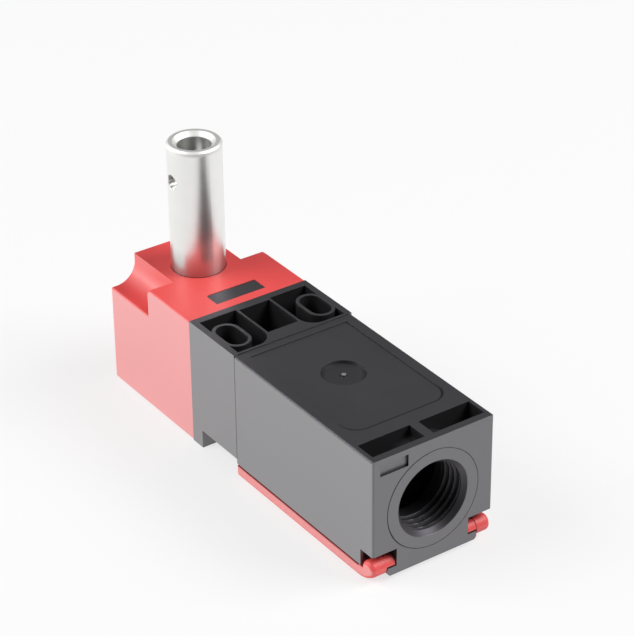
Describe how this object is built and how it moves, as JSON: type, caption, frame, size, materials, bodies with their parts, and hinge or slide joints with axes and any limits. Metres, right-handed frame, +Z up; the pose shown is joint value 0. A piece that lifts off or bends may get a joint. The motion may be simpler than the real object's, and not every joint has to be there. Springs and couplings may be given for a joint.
{
  "type": "hinge interlock switch",
  "caption": "Slim safety interlock switch with a hollow cross-drilled shaft on its head, mounting slots, a threaded conduit entry and a hinged terminal cover.",
  "frame": {"origin": "centre of the bounding box's base, under the middle of the switch's length, on the terminal cover's outer face", "axes": "+X along the body from the head to the conduit end, +Z up along the shaft, out of its open mouth, +Y across the body"},
  "size_m": [0.092, 0.028, 0.0564],
  "materials": {
    "black_body": "satin black moulding",
    "red_head": "satin red moulding",
    "shaft_steel": "turned stainless steel",
    "black_bush": "satin black moulding, threaded",
    "red_lid": "satin red moulding",
    "bearing": "sintered bronze",
    "seal_rubber": "matt black rubber",
    "spring_steel": "bright spring steel",
    "cam_plastic": "natural acetal",
    "pin_steel": "ground steel",
    "plunger_steel": "ground stainless steel",
    "block_plastic": "dark thermoset moulding",
    "carrier_plastic": "off-white moulding",
    "contact_brass": "stamped brass with silver tips",
    "zinc_screws": "zinc plated",
    "clamp_steel": "zinc plated, ribbed",
    "lid_screw_steel": "stainless steel, cross recess",
    "ring_plastic": "natural polyamide",
    "insert_brass": "turned brass, knurled"
  },
  "bodies": {
    "case": {"housing": "black_body", "head_housing": "red_head", "conduit_bush": "black_bush", "shaft_bush": "bearing", "shaft_seal": "seal_rubber", "shaft_foot_bush": "bearing", "plunger_seal": "seal_rubber", "contact_block_base": "block_plastic", "contact_block_cover": "block_plastic", "contact_block_screws": "zinc_screws", "closed_contacts": "contact_brass", "open_contacts": "contact_brass", "terminal_screws": "zinc_screws", "terminal_clamps": "clamp_steel", "lid_screw_insert": "insert_brass"},
    "shaft": {"operating_shaft": "shaft_steel", "shaft_clip": "spring_steel", "cam": "cam_plastic", "cam_pin": "pin_steel"},
    "push_rod": {"plunger": "plunger_steel", "contact_carrier": "carrier_plastic", "contact_bridges": "contact_brass", "bridge_springs": "spring_steel", "return_spring": "spring_steel"},
    "cover": {"lid": "red_lid", "lid_gasket": "seal_rubber", "lid_screw": "lid_screw_steel", "lid_screw_ring": "ring_plastic"}
  },
  "joints": [
    {"name": "shaft_turn", "type": "hinge", "parent": "case", "child": "shaft", "pos_m": [-0.0337, 0, 0.014], "axis": [0, 0, 1], "range_deg": [0, 180]},
    {"name": "plunger_slide", "type": "slide", "parent": "case", "child": "push_rod", "axis": [1, 0, 0], "range_m": [0, 0.0025], "deforming": ["return_spring"]},
    {"name": "lid_hinge", "type": "hinge", "parent": "case", "child": "cover", "pos_m": [0.04415, 0, 0.0029], "axis": [0, -1, 0], "range_deg": [0, 90]}
  ],
  "couplings": [
    {"joint": "shaft_turn", "follows": "plunger_slide", "rad_per_m": 1256.6}
  ]
}
